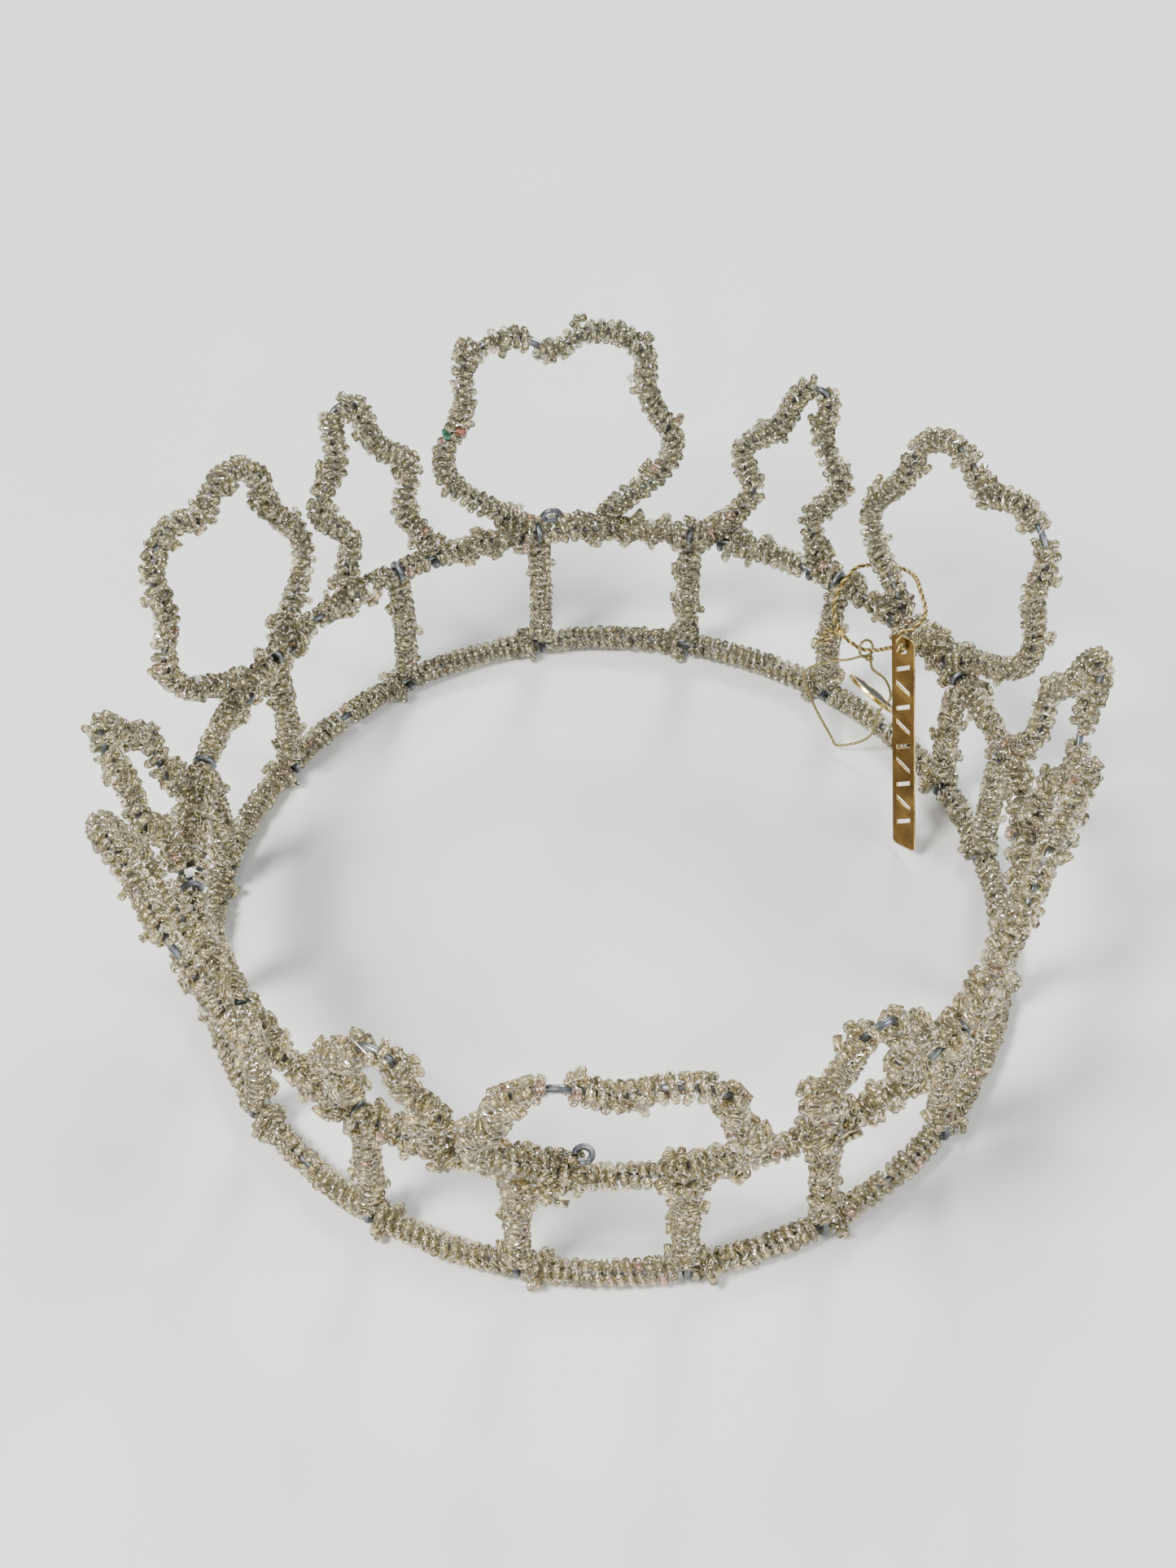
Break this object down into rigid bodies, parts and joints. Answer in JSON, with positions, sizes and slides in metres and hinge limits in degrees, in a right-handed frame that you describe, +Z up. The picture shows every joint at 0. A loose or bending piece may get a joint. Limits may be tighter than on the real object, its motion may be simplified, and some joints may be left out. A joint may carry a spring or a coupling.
{
  "type": "beaded wire crown",
  "caption": "Round wire crown bound with short glass tube beads: a lower and an upper ring joined by posts, cloud and spade ornaments standing on the upper ring, and cord-hung swing tags.",
  "frame": {"origin": "centre of the crown's two rings, in the plane of the flat underside it rests on", "axes": "+Z up through the rings, +Y towards the back of the crown, +X towards the side the tags hang on"},
  "size_m": [0.2154, 0.2175, 0.0963],
  "materials": {
    "galvanised_wire": "dull galvanised, drawn",
    "glass_beads": "silver-lined glass, champagne, glossy",
    "gold_cord": "twisted metallic yarn",
    "brass": "polished, slightly aged",
    "thread": "waxed twisted thread",
    "black_enamel": "gloss"
  },
  "bodies": {
    "crown": {"lower_ring_wire": "galvanised_wire", "upper_ring_wire": "galvanised_wire", "post_wire_01": "galvanised_wire", "post_wire_02": "galvanised_wire", "post_wire_03": "galvanised_wire", "post_wire_04": "galvanised_wire", "post_wire_05": "galvanised_wire", "post_wire_06": "galvanised_wire", "post_wire_07": "galvanised_wire", "post_wire_08": "galvanised_wire", "post_wire_09": "galvanised_wire", "post_wire_10": "galvanised_wire", "post_wire_11": "galvanised_wire", "post_wire_12": "galvanised_wire", "post_wire_13": "galvanised_wire", "post_wire_14": "galvanised_wire", "post_wire_15": "galvanised_wire", "post_wire_16": "galvanised_wire", "cloud_wire_back": "galvanised_wire", "spade_wire_back_left": "galvanised_wire", "cloud_wire_left_back": "galvanised_wire", "spade_wire_left": "galvanised_wire", "cloud_wire_left_front": "galvanised_wire", "spade_wire_front_left": "galvanised_wire", "cloud_wire_front": "galvanised_wire", "spade_wire_front_right": "galvanised_wire", "cloud_wire_right_front": "galvanised_wire", "spade_wire_right": "galvanised_wire", "cloud_wire_right_back": "galvanised_wire", "spade_wire_back_right": "galvanised_wire", "lower_strand_back": "glass_beads", "lower_strand_left": "glass_beads", "lower_strand_front": "glass_beads", "lower_strand_right": "glass_beads", "upper_strand_back": "glass_beads", "upper_strand_left": "glass_beads", "upper_strand_front": "glass_beads", "upper_strand_right": "glass_beads", "cloud_beads_back": "glass_beads", "spade_beads_back_left": "glass_beads", "cloud_beads_left_back": "glass_beads", "spade_beads_left": "glass_beads", "cloud_beads_left_front": "glass_beads", "spade_beads_front_left": "glass_beads", "cloud_beads_front": "glass_beads", "spade_beads_front_right": "glass_beads", "cloud_beads_right_front": "glass_beads", "spade_beads_right": "glass_beads", "cloud_beads_right_back": "glass_beads", "spade_beads_back_right": "glass_beads"},
    "gold_cord": {"gold_cord": "gold_cord"},
    "brass_tag": {"brass_tag": "brass"},
    "thread": {"thread_loop": "thread"},
    "round_tag": {"round_tag_disc": "black_enamel", "round_tag_rim": "brass"}
  },
  "joints": [
    {"name": "cord_lift", "type": "hinge", "parent": "crown", "child": "gold_cord", "pos_m": [0.0669, 0.0646, 0.04193], "axis": [-0.6947, 0.7193, 0], "range_deg": [0, 40]},
    {"name": "brass_tag_swing", "type": "hinge", "parent": "gold_cord", "child": "brass_tag", "pos_m": [0.0694, 0.04186, 0.0512], "axis": [0.7869, 0.5906, -0.1786], "range_deg": [-25, 20]},
    {"name": "thread_swing", "type": "hinge", "parent": "gold_cord", "child": "thread", "pos_m": [0.06341, 0.0576, 0.0349], "axis": [0.5486, -0.6554, 0.5191], "range_deg": [-20, 6]},
    {"name": "round_tag_swing", "type": "hinge", "parent": "thread", "child": "round_tag", "pos_m": [0.06928, 0.05491, 0.0178], "axis": [0.6337, 0.4345, 0.64], "range_deg": [-40, 40]}
  ]
}
